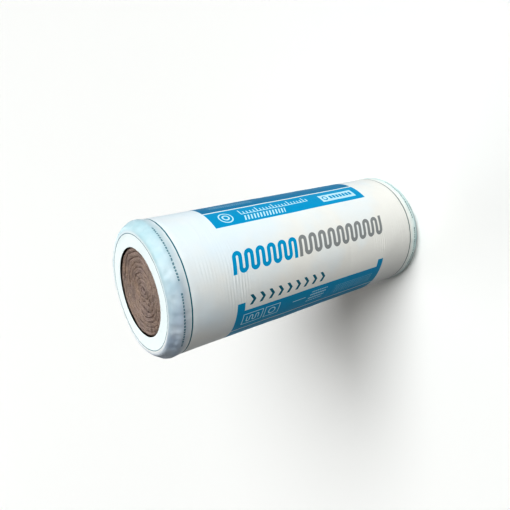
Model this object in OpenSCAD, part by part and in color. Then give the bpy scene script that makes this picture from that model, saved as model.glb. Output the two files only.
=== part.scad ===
// Mineral wool insulation roll, standing on one end in its printed film wrap.
// Millimetres. +Z is up, along the roll's axis. The origin is on the floor, in the middle
// of the lower end.

/* [Wool blanket] */
// Width of the blanket, which is the height of the standing roll inside its wrap
blanket_w = 1140; // [600:10:1400]
// Diameter of the wound blanket, squeezed into its wrap
wound_d = 448; // [340:2:600]
// Thickness of one squeezed turn of the blanket
turn_t = 16; // [8:1:30]
// How far the edge of each turn bulges out of the end
turn_crown = 2.5; // [0.5:0.1:4]
// Width of the flat crease between the edges of two turns
crease_w = 1; // [0.4:0.1:3]
// Diameter of the eye left in the middle of the winding
eye_d = 20; // [6:1:60]

/* [Film wrap] */
// Thickness of the wrap
film_t = 1; // [0.8:0.1:3]
// Outside radius of the shoulder where the wrap turns in over the ends
shoulder_r = 35; // [10:1:50]
// Diameter of the round window that the wrap leaves open in each end
window_d = 292; // [120:2:320]
// How far the wool sits below the wrap inside the window
window_recess = 4; // [1:0.5:10]

/* [Hidden] */
$fn = 96;
wound_r = wound_d / 2;
roll_r = wound_r + film_t;
eye_r = eye_d / 2;
window_r = window_d / 2;
wool_half = blanket_w / 2;
film_half = wool_half + film_t;
wool_shoulder_r = shoulder_r - film_t;
// A whole number of turns fills the winding from its eye to its outside
turn_count = floor((wound_r - eye_r) / turn_t);
turn_pitch = (wound_r - eye_r) / turn_count;
// The edge of a turn is an arc from crease to crease that rises by the crown
crown_chord = turn_pitch - crease_w;
crown_arc_r = (crown_chord * crown_chord / 4 + turn_crown * turn_crown) / (2 * turn_crown);
// Extra reach of a cutting shape past the face it cuts
cut = 1;

// Half of a lengthwise section, beside the axis at x = 0, with round outer corners
module half_section(radius, half_length, corner_r) {
    translate([0, -half_length])
        square([radius - corner_r, 2 * half_length]);
    translate([0, corner_r - half_length])
        square([radius, 2 * (half_length - corner_r)]);
    for (side = [-1, 1])
        translate([radius - corner_r, side * (half_length - corner_r)])
            circle(r = corner_r);
}

// The crowned edges of all turns, with their crests at y = 0
module turn_crowns() {
    for (turn = [0 : turn_count - 1])
        translate([eye_r + turn * turn_pitch, 0])
            intersection() {
                translate([turn_pitch / 2, -crown_arc_r])
                    circle(r = crown_arc_r);
                translate([0, -turn_crown - cut])
                    square([turn_pitch, turn_crown + 2 * cut]);
            }
}

// What the window leaves free above the crowned turns of one end
module window_hollow() {
    difference() {
        translate([-cut, -window_recess - turn_crown])
            square([window_r + cut, window_recess + turn_crown + cut]);
        translate([0, -window_recess])
            turn_crowns();
    }
}

// Turns a lengthwise section about the roll's axis and stands it on the floor
module stand_up() {
    translate([0, 0, film_half])
        rotate_extrude()
            children();
}

module wool_roll() {
    color([0.56, 0.47, 0.42])
        stand_up()
            difference() {
                half_section(wound_r, wool_half, wool_shoulder_r);
                translate([-cut, -wool_half - cut])
                    square([eye_r + cut, blanket_w + 2 * cut]);
                for (side = [-1, 1])
                    scale([1, side])
                        translate([0, wool_half])
                            window_hollow();
            }
}

module film_wrap() {
    color([0.93, 0.96, 0.97])
        stand_up()
            difference() {
                half_section(roll_r, film_half, shoulder_r);
                half_section(wound_r, wool_half, wool_shoulder_r);
                translate([-cut, -film_half - cut])
                    square([window_r + cut, 2 * (film_half + cut)]);
            }
}

wool_roll();
film_wrap();
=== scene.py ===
import math

import bpy
import numpy as np
from mathutils import Matrix, Vector, noise


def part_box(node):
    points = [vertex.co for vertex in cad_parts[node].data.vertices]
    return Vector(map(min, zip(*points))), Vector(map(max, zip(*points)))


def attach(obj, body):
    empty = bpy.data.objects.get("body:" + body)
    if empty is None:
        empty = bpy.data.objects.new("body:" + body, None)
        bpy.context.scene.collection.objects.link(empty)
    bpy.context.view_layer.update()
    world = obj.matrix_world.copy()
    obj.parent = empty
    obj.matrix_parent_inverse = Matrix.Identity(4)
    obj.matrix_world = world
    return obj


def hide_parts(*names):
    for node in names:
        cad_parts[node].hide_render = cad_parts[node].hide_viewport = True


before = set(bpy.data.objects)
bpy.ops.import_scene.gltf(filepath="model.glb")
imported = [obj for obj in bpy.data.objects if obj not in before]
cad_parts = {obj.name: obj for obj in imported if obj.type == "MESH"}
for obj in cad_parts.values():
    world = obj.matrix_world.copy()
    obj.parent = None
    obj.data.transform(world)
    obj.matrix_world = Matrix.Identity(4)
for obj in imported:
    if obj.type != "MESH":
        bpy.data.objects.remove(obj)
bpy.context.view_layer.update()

# A roll of mineral wool in a printed film wrap, standing on one end. The printed side faces
# -Y, and the print reads downwards from the upper end. Metres and degrees.

MM = 0.001

# ---------------------------------------------------------------- sizes, from the frame

FILM_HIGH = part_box("film_wrap")[1]
WOOL_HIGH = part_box("wool_roll")[1]
HEIGHT = FILM_HIGH.z
MIDDLE = HEIGHT / 2
ROLL_R = FILM_HIGH.y
WOUND_R = WOOL_HIGH.y


def radii_of(node, height=None):
    """The distances from the axis of a CAD node's points, or of those at one height."""
    points = [v.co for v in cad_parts[node].data.vertices]
    level = [p for p in points if height is None or abs(p.z - height) < 0.1 * MM]
    return [math.hypot(p.x, p.y) for p in level]


WINDOW_R = min(radii_of("film_wrap"))
FLAT_R = max(radii_of("film_wrap", HEIGHT))
SHOULDER_R = ROLL_R - FLAT_R

# ---------------------------------------------------------------- driving values

# The film: the columns of its mesh around the roll
FILM_COLUMNS = 208
# Rings of the film's mesh on the upper half of its side: from what height over the middle of
# the roll, and how far apart
SIDE_RINGS = ((0, 4.2 * MM), (0.29, 2.4 * MM), (0.38, 4 * MM))
RIM_R = 1 * MM  # the round of the film's edge at a window
RIM_DROP = 0.6 * MM  # how far that edge reaches into the window
RING_SWELL = 1 * MM  # how far the upper ring may rise over its plane
SEAM_ANGLE = 166  # the free edge of the film's overlap, measured like the print's angles
SEAM_STEP = 1.0 * MM
SEAM_FADE = 90 * MM  # the length over which the step dies away
SEAM_COLUMNS = (-2.5, -1.2, -0.5, 0.1, 0.7, 1.4, 2.5)  # of the mesh, in mm from that edge

# The winding
TURN_PITCH = 16.5 * MM
EYE_SHIFT = (18 * MM, -26 * MM)  # from the axis to the eye at the ends
EYE_R = 6.5 * MM
EYE_DEPTH = 8 * MM
EYE_EDGE = 5 * MM  # the width of the slope into the eye
EYE_SQUEEZE = 0.30  # how much narrower the turns at the eye are, along X
WOOL_COLUMNS = 360
WOOL_STEP = 1.3 * MM  # between the mesh's rings on an end
WOOL_DROP = 4.5 * MM  # from the film's flat ring to the crests of the turns
WOOL_TOP = 1.5 * MM  # no wool comes closer than this to the flat ring's plane
CREASE_DEPTH = 5.5 * MM
GROOVE_DEPTH = 9 * MM  # the dark gap under the film's edge
GROOVE_WIDTH = 6 * MM
HIDDEN_WIDTH = 3 * MM  # about how far the wool goes on under the film's edge, at the least
END_MARGIN = 39 * MM  # beyond the window, which an end's part of the texture still covers
SIDE_GAP = 3 * MM  # between the wool's hidden side and its CAD side
SIDE_ROWS = 6

# Loose fibres on the ends
FIBRES = 3500  # on each end
FIBRE_POINTS = 5
FIBRE_SIDES = 3
FIBRE_R = 0.22 * MM
FIBRE_LENGTHS = (7 * MM, 26 * MM)
FIBRE_TAPER = 0.8  # the share of its radius that a fibre loses towards its tips
FIBRE_TURN = 0.55  # how far it turns out of the winding's direction, in radians, give or take
FIBRE_BEND = 0.5  # how much it bends from tip to tip, give or take
FIBRE_STAND = 0.9 * MM  # sets how far its middle stands off the wool
FIBRE_DIP = 0.5 * MM  # how far its tips go into the wool
FIBRE_CREASE = -0.25  # less than no crease, so that the painted shade of the wool's creases leaves it light
EYE_RINGS = 6  # the innermost rings of the wool's mesh, which hold no fibres

# The camera looks at the roll from beside its upper end, and is turned on its side, so that
# the roll lies across the picture
CAMERA_PLACE = (0.673, -1.350, 1.706)
CAMERA_AZIMUTH = 25.67
CAMERA_ELEVATION = 34.33
CAMERA_TURN = -104.7
CAMERA_LENS = 34.93
CAMERA_SENSOR = 36
CAMERA_REACH = 200


# ---------------------------------------------------------------- small helpers

def smoothstep(low, high, value):
    part = np.clip((value - low) / (high - low), 0, 1)
    return part * part * (3 - 2 * part)


def hill(value, middle, width):
    """A smooth bump of height 1 at middle."""
    return np.exp(-(((value - middle) / width) ** 2))


def lumps(points, size, seed):
    """Smooth noise from -1 to 1 at each point, with lumps of about that size."""
    offset = np.array([seed * 7.31, seed * 3.17, seed * 5.71])
    flat = points.reshape(-1, 3) / size + offset
    values = np.array([noise.noise(Vector(p)) for p in flat])
    return values.reshape(points.shape[:-1])


def add_object(name, data):
    made = bpy.data.objects.new(name, data)
    bpy.context.scene.collection.objects.link(made)
    return made


def grid_mesh(name, points, closed_rows):
    """A mesh of quads from a grid of points, rows by columns, closed around the columns."""
    rows, columns = points.shape[:2]
    row_count = rows if closed_rows else rows - 1
    r, c = np.meshgrid(np.arange(row_count), np.arange(columns), indexing="ij")
    next_r, next_c = (r + 1) % rows, (c + 1) % columns
    corners = [(r, c), (r, next_c), (next_r, next_c), (next_r, c)]
    faces = np.stack([a * columns + b for a, b in corners], axis=-1).reshape(-1, 4)
    mesh = bpy.data.meshes.new(name)
    mesh.from_pydata(points.reshape(-1, 3).tolist(), [], faces.tolist())
    mesh.polygons.foreach_set("use_smooth", np.ones(len(faces), bool))
    return add_object(name, mesh)


def write_uv(mesh, u, v):
    """Writes the UV map named OFBake, from u and v at each face corner."""
    layer = mesh.uv_layers.new(name="OFBake")
    layer.data.foreach_set("uv", np.stack([u, v], axis=-1).astype(np.float32).ravel())


def grid_uv(piece, u, v, wrap_u=0.0):
    """Spreads grids of u and v over a grid mesh. Its last column ends at u plus wrap_u."""
    columns = u.shape[1]
    mesh = piece.data
    index = np.zeros(len(mesh.loops), np.int32)
    mesh.loops.foreach_get("vertex_index", index)
    row, column = index // columns, index % columns
    in_last_column = np.repeat(np.arange(len(mesh.polygons)) % columns == columns - 1, 4)
    corner_u = u[row, column] + wrap_u * (in_last_column & (column == 0))
    write_uv(mesh, corner_u, v[row, column])


def set_attribute(piece, name, values):
    layer = piece.data.attributes.new(name, "FLOAT", "POINT")
    layer.data.foreach_set("value", values.astype(np.float32).ravel())


def ring_point(radius, angle, height):
    """The place at an angle from -Y towards +X, which is how the print's angles run."""
    return np.stack([radius * np.sin(angle), -radius * np.cos(angle), height], axis=-1)


# ---------------------------------------------------------------- shader arithmetic

class Value:
    """A number worked out by shader nodes, with the usual arithmetic."""

    def __init__(self, tree, socket):
        self.tree, self.socket = tree, socket

    def math(self, operation, *others, clamp=False):
        node = self.tree.nodes.new("ShaderNodeMath")
        node.operation, node.use_clamp = operation, clamp
        self.tree.links.new(self.socket, node.inputs[0])
        for slot, other in enumerate(others, start=1):
            if isinstance(other, Value):
                self.tree.links.new(other.socket, node.inputs[slot])
            else:
                node.inputs[slot].default_value = other
        return Value(self.tree, node.outputs[0])

    def __add__(self, other):
        return self.math("ADD", other)

    def __sub__(self, other):
        return self.math("SUBTRACT", other)

    def __mul__(self, other):
        return self.math("MULTIPLY", other)

    def __truediv__(self, other):
        return self.math("DIVIDE", other)

    def __abs__(self):
        return self.math("ABSOLUTE")

    def least(self, other):
        return self.math("MINIMUM", other)

    def most(self, other):
        return self.math("MAXIMUM", other)

    def fold(self, period, middle=0.0):
        """The distance to the nearest of the places middle, middle + period and so on."""
        return abs((self - middle).math("WRAP", period / 2, -period / 2))

    def ramp(self, low, high):
        """0 at low and 1 at high, straight between them and level outside."""
        return ((self - low) / (high - low)).math("ADD", 0.0, clamp=True)


def length_of(x, y):
    return (x * x + y * y).math("SQRT")


def span_distance(x, low, high):
    """How far a place is outside a span, and less than 0 inside it."""
    return abs(x - (low + high) / 2) - (high - low) / 2


def box_distance(x, y, left, right, low, high):
    """The same for a rectangle."""
    return span_distance(x, left, right).most(span_distance(y, low, high))


def ring_distance(x, y, middle, radius, width):
    return outline(length_of(x - middle[0], y - middle[1]) - radius, width)


def stripes(x, pitch, width, middle=0.0):
    """Stripes at middle, middle + pitch and so on. Like all distances, less than 0 inside."""
    return x.fold(pitch, middle) - width / 2


def nearest(*distances):
    """Several shapes as one."""
    least = distances[0]
    for distance in distances[1:]:
        least = least.least(distance)
    return least


def inked(distance, edge=0.5 * MM):
    """1 where a distance is less than 0, with a soft edge."""
    return distance.ramp(edge / 2, -edge / 2)


def outline(distance, width):
    """A line of that width along the edge of a shape."""
    return abs(distance) - width / 2


class Shader:
    """One material under construction, with its Principled shader."""

    def __init__(self, name):
        self.material = bpy.data.materials.new(name)
        self.material.use_nodes = True
        self.tree = self.material.node_tree
        self.surface = self.tree.nodes["Principled BSDF"]

    def set(self, name, value):
        self.surface.inputs[name].default_value = value

    def link(self, name, socket):
        self.tree.links.new(socket, self.surface.inputs[name])

    def place(self):
        """x, y and z of the surface in the row frame, in metres."""
        source = self.tree.nodes.new("ShaderNodeTexCoord").outputs["Object"]
        split = self.tree.nodes.new("ShaderNodeSeparateXYZ")
        self.tree.links.new(source, split.inputs[0])
        return [Value(self.tree, socket) for socket in split.outputs]

    def attribute(self, name):
        node = self.tree.nodes.new("ShaderNodeAttribute")
        node.attribute_name = name
        return Value(self.tree, node.outputs["Fac"])

    def vector(self, x, y, z=None):
        node = self.tree.nodes.new("ShaderNodeCombineXYZ")
        for slot, part in enumerate(filter(None, (x, y, z))):
            self.tree.links.new(part.socket, node.inputs[slot])
        return node.outputs[0]

    def noise(self, vector, scale, detail=2.0, roughness=0.5, distortion=0.0):
        node = self.tree.nodes.new("ShaderNodeTexNoise")
        self.tree.links.new(vector, node.inputs["Vector"])
        node.inputs["Scale"].default_value = scale
        node.inputs["Detail"].default_value = detail
        node.inputs["Roughness"].default_value = roughness
        node.inputs["Distortion"].default_value = distortion
        return Value(self.tree, node.outputs["Fac"])

    def mix(self, share, first, second):
        """The second colour over the first. A colour is a tuple or a socket."""
        node = self.tree.nodes.new("ShaderNodeMix")
        node.data_type = "RGBA"
        self.tree.links.new(share.socket, node.inputs["Factor"])
        for name, colour in (("A", first), ("B", second)):
            socket = next(s for s in node.inputs if s.name == name and s.type == "RGBA")
            if isinstance(colour, tuple):
                socket.default_value = (*colour, 1)
            else:
                self.tree.links.new(colour, socket)
        return next(s for s in node.outputs if s.type == "RGBA")

    def bump(self, height, distance, strength=1.0):
        node = self.tree.nodes.new("ShaderNodeBump")
        node.inputs["Strength"].default_value = strength
        node.inputs["Distance"].default_value = distance
        self.tree.links.new(height.socket, node.inputs["Height"])
        self.link("Normal", node.outputs["Normal"])


# ---------------------------------------------------------------- print on the film

# Places on the print: across is measured from the middle of the roll towards its lower end,
# and up is measured around the roll from -Y towards +X. The print reads along across.
DEGREE = ROLL_R * math.pi / 180
PANEL = (-0.346, 0.340)
TOP_STRIP = (61.5 * DEGREE, 82 * DEGREE)
TOP_BAND = (83.8 * DEGREE, 122 * DEGREE)
LOWER_PANEL = (-36 * DEGREE, -13 * DEGREE)
LOWER_BAND = (-66 * DEGREE, -37.2 * DEGREE)
TAB_TOP = -5 * DEGREE
TAB_WIDTH = 29 * MM

# The drafting sign for insulation: how far apart its strokes are, where their straight part
# ends and how thick they are. Then, for its blue and for its grey part, the first and the last
# stroke, counted from the middle of the roll, and the end at which each of the two is free: -1
# is the bottom and 1 the top
SIGN_MIDDLE = 29 * DEGREE
SIGN_SLANT = 0.2
SIGN_PITCH = 22.6 * MM
SIGN_STRAIGHT = 17.5 * MM
SIGN_STROKE = 13.5 * MM
BLUE_SIGN = ((-15, -1), (-4, -1))
GREY_SIGN = ((-3, -1), (15, 1))

# The row of arrow heads under it. Their arms lean back by the slope
ARROW_START = (-0.281, -4 * DEGREE)
ARROWS = 9
ARROW_PITCH = 38 * MM
ARROW_REACH = 18 * MM
ARROW_STROKE = 11.5 * MM
ARROW_SLOPE = 0.7

# What is left pale in the top strip. Boxes are left, right, low and high
STRIP_RING = (-0.286, 71.5 * DEGREE)
STRIP_SCALE = (-0.222, 0.072)
SCALE_BASE = 72.8 * DEGREE
STRIP_HATCH = (-0.222, -0.048, 64 * DEGREE, 70 * DEGREE)
STRIP_LABEL = (0.134, 0.308, 66 * DEGREE, 76.5 * DEGREE)
LABEL_RING = (0.157, 71.2 * DEGREE)
LABEL_BLOCKS = (0.177, 0.296)

# What is left pale in the lower panel
PANEL_ROW = (-29.5 * DEGREE, -17.5 * DEGREE)
WAVE_FRAME = (-0.316, -0.237)
RING_FRAME = (-0.226, -0.166)
FRAME_LINE = 3.6 * MM
PANEL_DASH = (-0.105, -0.045)
DASH_MIDDLE = -22.5 * DEGREE
PANEL_DOTS = (0.005, 0.082)
DOT_SLANT = 0.35

# The boxes that are filled with rows of small, faint squares
FINE_BOXES = (
    (0.100, 0.300, -31 * DEGREE, -19 * DEGREE),
    (-0.300, -0.120, 90 * DEGREE, 97 * DEGREE),
    (-0.060, 0.240, 101 * DEGREE, 110 * DEGREE),
)

# The lines and the rows of dashes round the ends: where each is across, and its width. The
# dashes fill only some spans, in degrees around
END_LINES = ((-0.5067, 4 * MM), (0.5042, 4 * MM))
END_RING = (FLAT_R + 0.6 * MM, 2.6 * MM)
END_DASHES = ((-0.534, 5.2 * MM), (0.530, 4.4 * MM))
END_SPANS = ((27, 78), (-30, 18), (112, 163), (197, 248))
SEAM_SHADOW_WIDTH = 2 * MM  # the width of the painted shadow along the overlap's free edge

# The film's white, cool where painted light falls and warm where painted light is thrown back from
# below
COOL_LIT_WHITE = (0.72, 0.785, 0.81)
WARM_BOUNCE_WHITE = (0.79, 0.775, 0.725)
RING_WHITE = (0.74, 0.81, 0.80)
# Painted shade on the film's shoulders, in part the wool showing through: turquoise and lilac at
# the upper end, green at the lower
END_TURQUOISE_SHADE = (0.42, 0.60, 0.64)
END_LILAC_SHADE = (0.40, 0.47, 0.55)
END_GREEN_SHADE = (0.56, 0.73, 0.71)
CYAN = (0.0, 0.315, 0.545)
TEAL = (0.0, 0.300, 0.540)
GREEN_TEAL = (0.0, 0.325, 0.490)
BAND_TEAL = (0.0, 0.200, 0.370)
DARK_TEAL = (0.018, 0.155, 0.210)
GREY = (0.275, 0.285, 0.28)
PALE = (0.52, 0.73, 0.80)
LINE = (0.008, 0.130, 0.170)
FAR_LINE = (0.012, 0.070, 0.075)
# The painted shadow along the overlap's free edge
SEAM_SHADOW_GREY = (0.30, 0.35, 0.37)


def wave_distance(x, y, pitch, straight, width):
    """Upright strokes at whole pitches, joined by half rounds above and below in turn."""
    past = (abs(y) - straight).most(0.0)
    side = y.math("GREATER_THAN", 0.0)
    to_round = (x - side * pitch).fold(2 * pitch, 0.5 * pitch)
    return abs(length_of(to_round, past) - pitch / 2) - width / 2


def sign_distance(x, y, free_ends):
    """The part of the sign between its two free ends, which are square."""
    half = SIGN_STROKE / 2
    (first, _), (last, _) = free_ends
    wave = wave_distance(x, y, SIGN_PITCH, SIGN_STRAIGHT, SIGN_STROKE)
    wave = wave.most(span_distance(x, first * SIGN_PITCH - half, last * SIGN_PITCH + half))
    reach = SIGN_STRAIGHT + SIGN_PITCH / 2 + half
    for stroke, side in free_ends:
        middle = stroke * SIGN_PITCH
        wave = wave.least(box_distance(x, y * side, middle - half, middle + half, 0, reach))
    return wave


def scale_distance(x, y, left, right, base, step):
    """A ruler's scale with a tick every step and a taller one every fifth."""
    tick, short_reach, tall_reach, rule = 0.34 * step, 13 * MM, 24 * MM, 3.6 * MM
    height = y - base
    short = stripes(x, step, tick, left).most(height - short_reach)
    tall = stripes(x, 5 * step, tick, left).most(height - tall_reach)
    ticks = short.least(tall).most(height * -1.0)
    scale = ticks.least(outline(height + rule / 2, rule))
    return scale.most(span_distance(x, left - tick / 2, right + tick / 2))


def hatch_distance(x, y, left, right, low, high, pitch, width, slant):
    """Slanted strokes in a row."""
    slanted = x - (y - (low + high) / 2) * slant
    strokes = stripes(slanted, pitch, width, left + width / 2)
    return strokes.most(box_distance(slanted, y, left, right, low, high))


def arrow_row(x, y):
    """Arrow heads that point along x."""
    first, middle = ARROW_START
    lean = abs(y - middle)
    tip = x + lean * ARROW_SLOPE
    row = span_distance(tip, first - ARROW_PITCH / 2, first + (ARROWS - 0.5) * ARROW_PITCH)
    return stripes(tip, ARROW_PITCH, ARROW_STROKE, first).most(row.most(lean - ARROW_REACH))


def strip_marks(x, y):
    """Rings, a scale over slanted strokes, and a pale label with a ring and blocks."""
    outer = ring_distance(x, y, STRIP_RING, 24 * MM, 5 * MM)
    inner = ring_distance(x, y, STRIP_RING, 11 * MM, 6 * MM)
    scale = scale_distance(x, y, *STRIP_SCALE, SCALE_BASE, step=14 * MM)
    hatch = hatch_distance(x, y, *STRIP_HATCH, pitch=13 * MM, width=6.5 * MM, slant=0.4)
    dark_ring = ring_distance(x, y, LABEL_RING, 10 * MM, 5 * MM)
    blocks = stripes(x, 17 * MM, 12 * MM).most(outline(y - LABEL_RING[1], 18 * MM))
    dark = dark_ring.least(blocks.most(span_distance(x, *LABEL_BLOCKS)))
    label = box_distance(x, y, *STRIP_LABEL).most(dark * -1.0)
    return nearest(outer, inner, scale, hatch, label)


def panel_marks(x, y):
    """A wave and a ring in two frames, a dash, and slanted rows of dots."""
    row_y, wave_x, ring_x = (sum(span) / 2 for span in (PANEL_ROW, WAVE_FRAME, RING_FRAME))
    first = outline(box_distance(x, y, *WAVE_FRAME, *PANEL_ROW), FRAME_LINE)
    second = outline(box_distance(x, y, *RING_FRAME, *PANEL_ROW), FRAME_LINE)
    wave = wave_distance(x - wave_x, y - row_y, pitch=12 * MM, straight=6 * MM, width=4.5 * MM)
    wave = wave.most(outline(x - wave_x, 52 * MM))
    ring = ring_distance(x, y, (ring_x, row_y), 13 * MM, 5 * MM)
    dash = outline(y - DASH_MIDDLE, 4 * MM).most(span_distance(x, *PANEL_DASH))
    slanted = x - y * DOT_SLANT
    dots = stripes(y, 15 * MM, 8 * MM, row_y + 7.5 * MM).most(stripes(slanted, 9 * MM, 6.4 * MM))
    dots = dots.most(box_distance(slanted, y, *PANEL_DOTS, *PANEL_ROW))
    return nearest(first, second, wave, ring, dash, dots)


def fine_marks(x, y):
    """Rows of small squares, fainter than the rest."""
    squares = stripes(x, 9 * MM, 5.2 * MM).most(stripes(y, 9 * MM, 4.8 * MM))
    return squares.most(nearest(*(box_distance(x, y, *box) for box in FINE_BOXES)))


def end_lines(x, radius):
    """The lines round the roll near its ends, and the one round each end's flat ring."""
    round_roll = nearest(*(outline(x - place, width) for place, width in END_LINES))
    return round_roll.least(outline(radius - END_RING[0], END_RING[1]))


def end_dashes(x, y, uneven):
    """The rows of uneven dashes between those lines and the ends."""
    rows = nearest(*(outline(x - place, width) for place, width in END_DASHES))
    rows = rows - (uneven - 0.5) * (3 * MM)
    dashes = stripes(y + uneven * (22 * MM), 10 * MM, 6.8 * MM)
    spans = []
    for first, last in END_SPANS:
        turned = (y / DEGREE - (first + last) / 2).math("WRAP", 180, -180)
        spans.append(outline(turned * DEGREE, (last - first) * DEGREE))
    return rows.most(dashes).most(nearest(*spans))


def bare_film(shader, place, x, across, radius):
    """The film's white, without its print, with painted light in it and painted shade over its
    shoulders.
    """
    # Partly random tone and partly painted light: cooler towards +X, where the key light falls, and
    # towards the upper end, as a bluish reflection; warmer towards -X and the lower end, as warm
    # light thrown up from below.
    painted_light_mix = (shader.noise(place, 5, 3) + across * 0.35 - x * 0.9).ramp(0.15, 0.52)
    colour = shader.mix(painted_light_mix, COOL_LIT_WHITE, WARM_BOUNCE_WHITE)
    colour = shader.mix(radius.ramp(FLAT_R + 1 * MM, FLAT_R - 1 * MM), colour, RING_WHITE)

    # Painted shade over the shoulders: partly the wool showing through the thinner film, and partly
    # the shade of the film's folds there
    shoulder = abs(across).ramp(0.506, 0.540) * radius.ramp(FLAT_R + 1 * MM, FLAT_R + 12 * MM)
    painted_end_shade = shoulder * (shader.noise(place, 14, 3) * 1.1 + 0.22)
    # At the upper end the painted shade turns from turquoise to lilac outwards and towards -X, the
    # side away from the key light
    lilac = ((radius - FLAT_R) * 12.0 - x * 3.0).ramp(-0.35, 0.45)
    near_end_shade = shader.mix(lilac, END_TURQUOISE_SHADE, END_LILAC_SHADE)
    end_shade_colour = shader.mix(across.math("GREATER_THAN", 0.0), near_end_shade, END_GREEN_SHADE)
    return shader.mix(painted_end_shade, colour, end_shade_colour)


def print_panels(shader, colour, place, across, up):
    """The strip along the top, the bands on both sides, and the bracket under the sign."""
    top_strip = inked(box_distance(across, up, *PANEL, *TOP_STRIP))
    top_band = inked(box_distance(across, up, *PANEL, *TOP_BAND))
    lower_band = inked(box_distance(across, up, *PANEL, *LOWER_BAND))
    lower = box_distance(across, up, *PANEL, *LOWER_PANEL)
    left_tab = box_distance(across, up, PANEL[0], PANEL[0] + TAB_WIDTH, LOWER_PANEL[0], TAB_TOP)
    right_tab = box_distance(across, up, PANEL[1] - TAB_WIDTH, PANEL[1], LOWER_PANEL[0], TAB_TOP)
    bracket = inked(nearest(lower, left_tab, right_tab))
    ink_depth = shader.noise(place, 9, 4).ramp(0.2, 0.8)
    teal = shader.mix(ink_depth, TEAL, GREEN_TEAL)
    colour = shader.mix(top_strip, colour, CYAN)
    colour = shader.mix(lower_band.most(bracket), colour, teal)
    return shader.mix(top_band, colour, BAND_TEAL)


def print_marks(shader, colour, across, up):
    """The sign, the arrow heads, and what is left pale in the strip and the panels."""
    rise = up - SIGN_MIDDLE
    slanted = across - rise * SIGN_SLANT
    colour = shader.mix(inked(sign_distance(slanted, rise, BLUE_SIGN)), colour, CYAN)
    colour = shader.mix(inked(sign_distance(slanted, rise, GREY_SIGN)), colour, GREY)
    colour = shader.mix(inked(arrow_row(across, up)), colour, DARK_TEAL)
    pale = inked(strip_marks(across, up).least(panel_marks(across, up)))
    colour = shader.mix(pale, colour, PALE)
    faint = inked(fine_marks(across, up)) * 0.45
    return shader.mix(faint, colour, PALE)


def print_ends(shader, colour, place, across, up, radius):
    """The lines and the dashes round both ends, which are darker at the lower end."""
    line_colour = shader.mix(across.math("GREATER_THAN", 0.0), LINE, FAR_LINE)
    colour = shader.mix(inked(end_lines(across, radius), 0.8 * MM), colour, line_colour)
    dashes = inked(end_dashes(across, up, shader.noise(place, 26, 2)), 0.8 * MM) * 0.75
    return shader.mix(dashes, colour, line_colour)


def film_material():
    shader = Shader("printed_film")
    x, y, z = shader.place()
    radius = length_of(x, y)
    across = (z - MIDDLE) * -1.0
    up = x.math("ARCTAN2", y * -1.0) * ROLL_R
    place = shader.vector(x, y, z)

    colour = bare_film(shader, place, x, across, radius)
    colour = print_panels(shader, colour, place, across, up)
    colour = print_marks(shader, colour, across, up)
    colour = print_ends(shader, colour, place, across, up, radius)
    # A thin, patchy painted shadow lies along the overlap's free edge, beside its step
    seam_edge = outline(up - SEAM_ANGLE * DEGREE, SEAM_SHADOW_WIDTH)
    seam = inked(seam_edge, 1.2 * MM) * (shader.noise(place, 30, 3) * 0.6)
    shader.link("Base Color", shader.mix(seam, colour, SEAM_SHADOW_GREY))

    gloss = shader.noise(place, 24, 4)
    shader.link("Roughness", (gloss * 0.18 + 0.26).socket)
    shader.set("IOR", 1.5)
    shader.set("Specular IOR Level", 0.15)

    # Fine creases that the tension of the wrap draws around the roll
    stretched = shader.vector(x * 5.0, y * 5.0, z * 80.0)
    creases = shader.noise(stretched, 1.6, 2, 0.5, 0.4)
    patches = shader.noise(place, 6, 1).ramp(0.45, 0.7)
    crinkle = shader.noise(place, 60, 3, 0.55)
    shader.bump(creases * patches + crinkle * 0.3, 0.9 * MM, 0.7)
    return shader.material


# ---------------------------------------------------------------- film

# Where the tension of the wrap draws creases round the roll: the middle of each patch, across
# and in degrees around, its half sizes, and the height of its creases
CREASE_PATCHES = (
    (-0.340, 10, 0.036, 26, 0.95 * MM),
    (0.325, 8, 0.036, 24, 0.95 * MM),
    (-0.430, 30, 0.040, 16, 0.70 * MM),
    (0.425, 22, 0.040, 18, 0.55 * MM),
    (-0.320, 150, 0.040, 26, 0.85 * MM),
    (-0.360, -120, 0.050, 30, 0.75 * MM),
    (0.330, -140, 0.034, 30, 0.85 * MM),
    (0.360, 135, 0.040, 24, 0.70 * MM),
    (0.020, -150, 0.060, 22, 0.35 * MM),
)

# The film folds twice over each shoulder, with a valley after each fold: how far each one is
# from the window's edge along the film, its half width and its height
SHOULDER_FOLDS = (
    (0.058, 0.009, 1.6 * MM),
    (0.079, 0.010, -2.2 * MM),
    (0.104, 0.012, 1.5 * MM),
    (0.128, 0.010, -1.0 * MM),
)


def film_section():
    """The upper half of the wrap's section, from the middle of the roll to the window's edge.

    Each row gives a radius and a height, and the normal there.
    """
    starts, steps = zip(*SIDE_RINGS)
    spans = zip(starts, (*starts[1:], MIDDLE - SHOULDER_R), steps)
    rise = np.concatenate([np.arange(*span) for span in spans])
    straight = [(ROLL_R, MIDDLE + h, 1, 0) for h in rise]
    turn = [math.radians(a) for a in np.arange(0, 90, 3.2)]
    shoulder = [(FLAT_R + SHOULDER_R * math.cos(a), HEIGHT - SHOULDER_R * (1 - math.sin(a)),
                 math.cos(a), math.sin(a)) for a in turn]
    inner = WINDOW_R + RIM_R
    flat = [(r, HEIGHT, 0, 1) for r in np.linspace(FLAT_R, inner, 18, endpoint=False)]
    curl = [math.radians(a) for a in (0, 25, 50, 75, 90)]
    rim = [(inner - RIM_R * math.sin(a), HEIGHT - RIM_R * (1 - math.cos(a)),
            -math.sin(a), math.cos(a)) for a in curl]
    drop = [(WINDOW_R, HEIGHT - RIM_R - RIM_DROP, -1, 0)]
    return np.array(straight + shoulder + flat + rim + drop)


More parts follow.
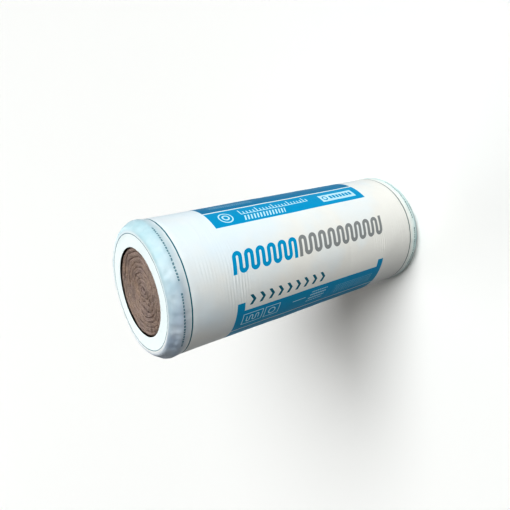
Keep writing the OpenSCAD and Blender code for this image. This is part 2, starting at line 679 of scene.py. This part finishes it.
def film_relief(angle, points, from_end):
    """How far the film stands off its plain section.

    from_end is the length along the section from the edge of the nearest window.
    """
    across = MIDDLE - points[..., 2]
    degrees = (np.degrees(angle) + 180) % 360 - 180
    relief = 1.3 * MM * lumps(points, 0.15, 1) + 0.5 * MM * lumps(points, 0.06, 2)

    # The creases run round the roll, drift along it, fade and join
    wander = 5 * MM * lumps(points, 0.09, 3) + 3 * MM * lumps(points * (0.5, 0.5, 1), 0.04, 20)
    uneven = 0.55 + 1.1 * lumps(points * (0.3, 0.3, 1), 0.018, 21)
    wave = uneven * np.sin(2 * math.pi * (across + wander) / (11 * MM))
    for middle, around, half, half_around, tall in CREASE_PATCHES:
        turn = (degrees - around + 180) % 360 - 180
        relief += tall * hill(across, middle, half) * hill(turn, 0, half_around) * wave

    # Long faint lines of tension, all around the roll
    drawn = lumps(points * (0.05, 0.05, 1), 0.014, 8)
    slack = smoothstep(-0.1, 0.5, lumps(points, 0.20, 9))
    relief += 0.45 * MM * drawn * slack * smoothstep(0.10, 0.16, from_end)

    # Pleats where the film is drawn in over the shoulders
    spread = ring_point(1, angle, 3 * from_end)
    pleats = 1 - 2.4 * np.abs(lumps(spread, 0.11, 4))
    fine_pleats = 1 - 2.4 * np.abs(lumps(spread, 0.055, 5))
    share = smoothstep(0.02, 0.07, from_end) * (1 - smoothstep(0.09, 0.17, from_end))
    relief += share * (1.25 * MM * pleats + 0.6 * MM * fine_pleats)
    # Fine gathers run outwards from the window's edge
    gathers = lumps(ring_point(1, angle, 1.5 * from_end), 0.035, 7)
    relief += 0.6 * MM * gathers * hill(from_end, 0.008, 0.016)
    for middle, half, tall in SHOULDER_FOLDS:
        relief += tall * hill(from_end, middle, half)

    # The free edge of the overlap, which ends in a step
    past = (angle - np.radians(SEAM_ANGLE)) * ROLL_R
    step = SEAM_STEP * smoothstep(-0.3 * MM, 0.3 * MM, past)
    step = step * (1 - smoothstep(0, SEAM_FADE, past))
    puckers = hill(past, 5 * MM, 7 * MM) * lumps(points, 0.030, 10)
    relief += (step + 0.8 * MM * puckers) * smoothstep(0.03, 0.06, from_end)
    return relief


def film_wrap():
    upper = film_section()
    lower = upper[:0:-1] * (1, -1, 1, -1) + (0, HEIGHT, 0, 0)
    section = np.concatenate([lower, upper])
    steps = np.hypot(np.diff(section[:, 0]), np.diff(section[:, 1]))
    along = np.concatenate([[0], np.cumsum(steps)])
    around = np.linspace(-math.pi, math.pi, FILM_COLUMNS, endpoint=False)
    seam = math.radians(SEAM_ANGLE) + np.array(SEAM_COLUMNS) * MM / ROLL_R
    around = np.sort(np.concatenate([around, seam]))

    angle = np.broadcast_to(around, (len(section), len(around)))
    radius, height, out, rise = (section[:, [k]] + 0 * angle for k in range(4))
    from_end = np.minimum(along, along[-1] - along)[:, None] + 0 * angle
    points = ring_point(radius, angle, height)
    normal = ring_point(out, angle, rise)
    relief = film_relief(angle, points, from_end)
    points = points + normal * relief[..., None]
    # The roll stands on its lower ring, and the upper ring stays nearly level
    points[..., 2] = np.clip(points[..., 2], 0, HEIGHT + RING_SWELL)

    film = grid_mesh("film_wrap_printed", points, closed_rows=False)
    around_share = (angle + math.pi) / (2 * math.pi)
    along_share = (along / along[-1])[:, None] + 0 * angle
    grid_uv(film, around_share, along_share, wrap_u=1.0)
    film.data.materials.append(film_material())
    return film


# ---------------------------------------------------------------- wool

# The wool's colours. The darkest is painted shade in its creases, in the groove under the film's
# edge and in the eye
WOOL_SHADE_DARK = (0.030, 0.021, 0.017)
WOOL_BROWN = (0.235, 0.170, 0.152)
WOOL_TAN = (0.64, 0.505, 0.450)
WOOL_GREY = (0.31, 0.25, 0.235)
WOOL_WARM = (0.49, 0.350, 0.250)
FIBRE_BROWN = (0.33, 0.245, 0.19)
FIBRE_PALE = (0.62, 0.52, 0.43)


def wool_material(name, brown, tan):
    shader = Shader(name)
    x, y, z = shader.place()
    place = shader.vector(x, y, z)
    crease = shader.attribute("crease")
    # Strands run along the winding and lie in thin layers across each turn
    strand = shader.attribute("strand")
    layer = shader.attribute("layer")
    strands = shader.noise(shader.vector(strand * 0.7, layer * 7.0), 1.0, 5, 0.62, 0.35)
    threads = shader.noise(shader.vector(strand * 3.0, layer * 22.0), 1.0, 4, 0.6, 0.6)
    tufts = shader.noise(place, 95, 5, 0.62, 0.6)
    fibres = shader.noise(place, 420, 4, 0.6, 1.4)
    patch = shader.noise(place, 28, 3, 0.55)
    light = (strands * 0.42 + threads * 0.26 + tufts * 0.26 + fibres * 0.30 - 0.10).ramp(0.34, 0.74)
    colour = shader.mix(light, brown, tan)
    # The binder has browned some patches a little more than the rest
    warm = shader.noise(place, 12, 2).ramp(0.45, 0.65) * 0.35
    colour = shader.mix(warm, colour, WOOL_WARM)
    colour = shader.mix(patch.ramp(0.42, 0.68) * 0.6, colour, WOOL_GREY)
    # Painted shade: darker in the creases between turns, in the groove under the film's edge and in
    # the eye, and a little between tufts
    painted_shade = (crease + (tufts - 0.5) * 0.5).ramp(0.32, 1.22)
    shader.link("Base Color", shader.mix(painted_shade, colour, WOOL_SHADE_DARK))
    shader.set("Roughness", 0.95)
    shader.set("Specular IOR Level", 0.12)
    shader.bump(fibres * 0.5 + tufts + strands + threads * 0.7, 2.4 * MM, 1.0)
    return shader.material


def wool_end(radii, turn):
    """The upper end of the winding, on rings from the eye outwards.

    Gives its points, how much painted shade each one takes (in the creases, in the groove under
    the film's edge and in the eye), how far along the winding it is, and how far across its turn.
    """
    wound = radii[:, None] + 0 * turn
    angle = turn + 0 * wound
    centre = (1 - wound / WOUND_R)[..., None] * np.array(EYE_SHIFT)
    # The turns were squeezed flat near the eye
    squeeze = 1 - EYE_SQUEEZE * (1 - smoothstep(0.0, 0.09, wound))
    x = centre[..., 0] + wound * np.sin(angle) * squeeze
    y = centre[..., 1] - wound * np.cos(angle)
    flat = np.stack([x, y, 0 * x], axis=-1)
    waver = 0.42 * lumps(flat, 0.06, 11) + 0.20 * lumps(flat, 0.024, 12)
    winding = (wound - EYE_R) / TURN_PITCH - angle / (2 * math.pi) + waver
    layer = winding - np.floor(winding)
    strand = 2 * math.pi * np.floor(winding) + angle

    def along(size, seed):
        """Noise that follows a turn and differs from turn to turn."""
        return lumps(np.stack([strand / size, 0 * strand, 0 * strand], axis=-1), 1.0, seed)

    crease = np.abs(2 * layer - 1) ** 3.5
    inner_layer = (2 * layer + 0.3 + 0.25 * along(0.8, 17)) % 1
    inner_crease = np.abs(2 * inner_layer - 1) ** 5 * (0.5 + 0.5 * along(0.5, 18))
    depth = CREASE_DEPTH * crease * (0.6 + 0.5 * along(0.7, 13))
    depth += 1.8 * MM * inner_crease
    depth -= 2.0 * MM * along(1.6, 14) + 1.0 * MM * along(0.35, 19)
    depth -= 1.2 * MM * lumps(flat, 0.012, 15) + 0.9 * MM * lumps(flat, 0.005, 16)
    in_groove = smoothstep(WINDOW_R - GROOVE_WIDTH, WINDOW_R, np.hypot(x, y))
    in_eye = 1 - smoothstep(EYE_R, EYE_R + EYE_EDGE, wound)
    depth += GROOVE_DEPTH * in_groove + EYE_DEPTH * in_eye
    # How much painted shade each point takes: in the creases, and most in the groove under the
    # film's edge and in the eye
    dark = np.maximum.reduce([crease, 0.6 * inner_crease, 1.3 * in_groove, 1.3 * in_eye])
    depth = np.maximum(depth + WOOL_DROP, WOOL_TOP)
    return np.stack([x, y, HEIGHT - depth], axis=-1), dark, strand, layer


def turned_over(grid):
    """A grid of values on the upper end, as they lie on the lower end's grid.

    The lower end is the upper one turned over about Y, and its rings run inwards.
    """
    back = -np.arange(WOOL_COLUMNS) % WOOL_COLUMNS
    return grid[::-1][:, back]


def wool_uv(wool, upper, turn):
    """Both ends fill the upper half of the texture, side by side, and the side the lower."""
    face = 0.25 + 0.245 * np.clip(upper[..., :2] / (WINDOW_R + END_MARGIN), -1, 1)
    over = turned_over(face)
    band_u = 0.01 + 0.97 * turn / (2 * math.pi) + np.zeros((SIDE_ROWS, 1))
    band_v = np.linspace(0.05, 0.45, SIDE_ROWS)[:, None] + 0 * turn
    u = np.concatenate([face[..., 0], band_u, 0.5 + over[..., 0]])
    v = np.concatenate([0.5 + face[..., 1], band_v, 0.5 + over[..., 1]])
    grid_uv(wool, u, v)


def wool_roll():
    turn = np.linspace(0, 2 * math.pi, WOOL_COLUMNS, endpoint=False)
    radii = np.arange(EYE_R, WINDOW_R + np.linalg.norm(EYE_SHIFT), WOOL_STEP)
    upper, *values = wool_end(radii, turn)
    # Past the window's edge nothing is seen, so a few rings are enough
    reach = np.hypot(upper[..., 0], upper[..., 1])
    kept = reach.min(axis=1) < WINDOW_R + HIDDEN_WIDTH
    upper, values = upper[kept], [value[kept] for value in values]
    side_heights = np.linspace(HEIGHT - SHOULDER_R, SHOULDER_R, SIDE_ROWS)
    side = [ring_point(WOUND_R - SIDE_GAP, turn, height + 0 * turn) for height in side_heights]
    lower = turned_over(upper) * (-1, 1, -1) + (0, 0, HEIGHT)
    wool = grid_mesh("wool_turns", np.concatenate([upper, side, lower]), closed_rows=True)
    between = np.zeros((SIDE_ROWS, WOOL_COLUMNS))
    for name, value in zip(("crease", "strand", "layer"), values):
        set_attribute(wool, name, np.concatenate([value, between, turned_over(value)]))
    wool_uv(wool, upper, turn)
    wool.data.materials.append(wool_material("mineral_wool", WOOL_BROWN, WOOL_TAN))
    return wool, loose_fibres(upper)


def fibre_uv(mesh, count, rings, sides):
    """Gives each fibre its own cell of the texture: walls on its left, caps on its right."""
    cells = math.ceil(math.sqrt(count))
    side = 0.8 * np.arange(sides + 1) / sides
    ring = 0.05 + 0.9 * np.arange(rings) / (rings - 1)
    low, left = np.meshgrid(ring[:-1], side[:-1], indexing="ij")
    high, right = np.meshgrid(ring[1:], side[1:], indexing="ij")
    wall = np.array([[left, right, right, left], [low, low, high, high]])
    wall = np.moveaxis(wall, 1, -1).reshape(2, -1)
    cap = np.array([(0.84, 0.96, 0.90), (0.10, 0.10, 0.30)])
    other_cap = cap + ((0.0,), (0.5,))
    cell = np.stack([np.arange(count) % cells, np.arange(count) // cells])[..., None]
    parts = [((cell + part[:, None]) / cells).reshape(2, -1) for part in (wall, cap, other_cap)]
    write_uv(mesh, *np.concatenate(parts, axis=1))


def fibre_mesh(name, fibres):
    """Closed thin rods, from their rings of points: fibres by rings by corners."""
    count, rings, sides = fibres.shape[:3]
    index = np.arange(count * rings * sides).reshape(count, rings, sides)
    beside = np.roll(index, -1, axis=2)
    walls = np.stack([index[:, :-1], beside[:, :-1], beside[:, 1:], index[:, 1:]], axis=-1)
    caps = np.concatenate([index[:, 0, ::-1], index[:, -1]])
    faces = walls.reshape(-1, 4).tolist() + caps.tolist()
    mesh = bpy.data.meshes.new(name)
    mesh.from_pydata(fibres.reshape(-1, 3).tolist(), [], faces)
    fibre_uv(mesh, count, rings, sides)
    return add_object(name, mesh)


def fibre_paths(upper, chance, step):
    """Short curved paths on the upper end. Each has a point at every step, from -0.5 to 0.5."""
    rows, columns = upper.shape[:2]
    reach = np.hypot(upper[..., 0], upper[..., 1])
    open_rows = np.flatnonzero(reach.min(axis=1) < WINDOW_R - GROOVE_WIDTH)
    open_rows = open_rows[EYE_RINGS:]
    # Wider rings hold more fibres
    start = chance.choice(open_rows, FIBRES, p=open_rows / open_rows.sum())
    column = chance.integers(0, columns, FIBRES)
    length = chance.uniform(*FIBRE_LENGTHS, FIBRES)
    ring_r = EYE_R + start * WOOL_STEP
    heading = chance.normal(0, FIBRE_TURN, FIBRES)
    bend = chance.normal(0, FIBRE_BEND, FIBRES)
    direction = heading[:, None] + bend[:, None] * step
    columns_long = length / ring_r * columns / (2 * math.pi)
    around = column[:, None] + np.cos(direction) * step * columns_long[:, None]
    outward = start[:, None] + np.sin(direction) * step * (length / WOOL_STEP)[:, None]
    row = np.clip(outward, 0, rows - 2)
    low_row, low_column = row.astype(int), np.floor(around).astype(int)
    row_share, column_share = (row - low_row)[..., None], (around - low_column)[..., None]

    def on_row(number):
        """The end's places on a row, between its columns."""
        here = upper[number, low_column % columns]
        beside = upper[number, (low_column + 1) % columns]
        return here * (1 - column_share) + beside * column_share

    path = on_row(low_row) * (1 - row_share) + on_row(low_row + 1) * row_share
    # A fibre's middle stands off the wool, its tips dip in, and it stays under the flat ring
    stand = chance.gamma(1.6, FIBRE_STAND, FIBRES)[:, None]
    path[..., 2] += 0.2 * MM + stand * np.cos(math.pi * step) - FIBRE_DIP * np.abs(2 * step) ** 3
    path[..., 2] = np.minimum(path[..., 2], HEIGHT - FIBRE_R - 0.1 * MM)
    return path


def loose_fibres(upper):
    """Fibres that lie on both ends of the winding, and stand a little off it."""
    chance = np.random.default_rng(5)
    step = np.linspace(-0.5, 0.5, FIBRE_POINTS)
    path = fibre_paths(upper, chance, step)
    along = np.gradient(path, axis=1)
    along /= np.linalg.norm(along, axis=-1, keepdims=True)
    sideways = np.stack([-along[..., 1], along[..., 0], 0 * along[..., 0]], axis=-1)
    sideways /= np.linalg.norm(sideways, axis=-1, keepdims=True)
    upwards = np.cross(along, sideways)
    taper = FIBRE_R * (1 - FIBRE_TAPER * np.abs(2 * step) ** 2)[None, :, None]
    corner_turns = 2 * math.pi * np.arange(FIBRE_SIDES) / FIBRE_SIDES
    sides = [path + taper * (math.sin(a) * sideways + math.cos(a) * upwards) for a in corner_turns]
    fibres = np.stack(sides, axis=2)
    # The lower end's fibres are the upper end's, turned over about Y
    fibres = np.concatenate([fibres, fibres * (-1, 1, -1) + (0, 0, HEIGHT)])
    made = fibre_mesh("wool_fibres", fibres)
    # Each fibre takes its shade from its own place in the wool's pattern
    strand = np.repeat(chance.uniform(0, 60, len(fibres)), FIBRE_POINTS * FIBRE_SIDES)
    set_attribute(made, "crease", np.full(len(strand), FIBRE_CREASE))
    set_attribute(made, "strand", strand)
    set_attribute(made, "layer", strand * 0.37 % 1)
    made.data.materials.append(wool_material("mineral_wool_fibres", FIBRE_BROWN, FIBRE_PALE))
    return made


# ---------------------------------------------------------------- floor, light and camera

FLOOR_HALF = 60  # half its side
FLOOR_PALE = (0.94, 0.925, 0.90)
FLOOR_GLOW = (0.47, 0.48, 0.50)  # the floor as it lights the roll
WORLD_COLOUR = (0.94, 0.98, 1.0)
WORLD_STRENGTH = 0.06
BACKDROP = (0.68, 0.685, 0.675)

# Each light: where it comes from, its strength, how many degrees wide it is, and its colour
LIGHTS = {
    "key": ((0.68, -0.22, 0.68), 2.65, 45, (0.955, 0.985, 1.0)),
    "front": ((0.5, -0.8, 0.25), 0.42, 60, (1.0, 0.95, 0.90)),
    "back": ((-0.38, 0.92, 0.06), 1.65, 60, (1.0, 1.0, 1.0)),
}


def camera_sees(tree):
    """A socket that is 1 for what the camera sees directly, and 0 for light on its way."""
    return tree.nodes.new("ShaderNodeLightPath").outputs["Is Camera Ray"]


def floor():
    half = FLOOR_HALF
    corners = [(-half, -half, 0), (half, -half, 0), (half, half, 0), (-half, half, 0)]
    mesh = bpy.data.meshes.new("floor")
    mesh.from_pydata(corners, [], [(0, 1, 2, 3)])
    made = add_object("floor", mesh)
    shader = Shader("floor")
    # It throws back less light than it shows. That stands in for the shade below the photo's
    # roll, which lies on its side
    seen = Value(shader.tree, camera_sees(shader.tree))
    shader.link("Base Color", shader.mix(seen, FLOOR_GLOW, FLOOR_PALE))
    shader.set("Roughness", 0.9)
    mesh.materials.append(shader.material)


def soft_sun(name, direction, strength, spread, colour):
    """A far, wide and even light that comes from the direction."""
    data = bpy.data.lights.new(name, "SUN")
    data.energy, data.angle, data.color = strength, math.radians(spread), colour
    made = add_object(name, data)
    made.rotation_mode = "QUATERNION"
    made.rotation_quaternion = Vector(direction).to_track_quat("Z", "Y")


def studio():
    """A dim even light all around, and a pale backdrop behind the floor's far edge.

    The backdrop is only seen, and gives no light.
    """
    world = bpy.data.worlds.new("studio")
    world.use_nodes = True
    nodes, links = world.node_tree.nodes, world.node_tree.links
    dim = nodes["Background"]
    dim.inputs["Color"].default_value = (*WORLD_COLOUR, 1)
    dim.inputs["Strength"].default_value = WORLD_STRENGTH
    pale = nodes.new("ShaderNodeBackground")
    pale.inputs["Color"].default_value = (*BACKDROP, 1)
    choice = nodes.new("ShaderNodeMixShader")
    links.new(camera_sees(world.node_tree), choice.inputs[0])
    links.new(dim.outputs[0], choice.inputs[1])
    links.new(pale.outputs[0], choice.inputs[2])
    links.new(choice.outputs[0], nodes["World Output"].inputs["Surface"])
    bpy.context.scene.world = world
    bpy.context.scene.view_settings.view_transform = "Standard"
    bpy.context.scene.view_settings.look = "High Contrast"


def camera():
    data = bpy.data.cameras.new("camera")
    data.lens, data.sensor_width, data.clip_end = CAMERA_LENS, CAMERA_SENSOR, CAMERA_REACH
    made = add_object("camera", data)
    turns = ((CAMERA_AZIMUTH, "Z"), (90 - CAMERA_ELEVATION, "X"), (CAMERA_TURN, "Z"))
    first, second, third = (Matrix.Rotation(math.radians(a), 3, axis) for a, axis in turns)
    made.rotation_euler = (first @ second @ third).to_euler()
    made.location = CAMERA_PLACE
    bpy.context.scene.camera = made


camera()
floor()
studio()
for light, settings in LIGHTS.items():
    soft_sun(light, *settings)

film = film_wrap()
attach(film, "root")
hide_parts("film_wrap")

wool, fibres = wool_roll()
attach(wool, "root")
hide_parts("wool_roll")
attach(fibres, "root")
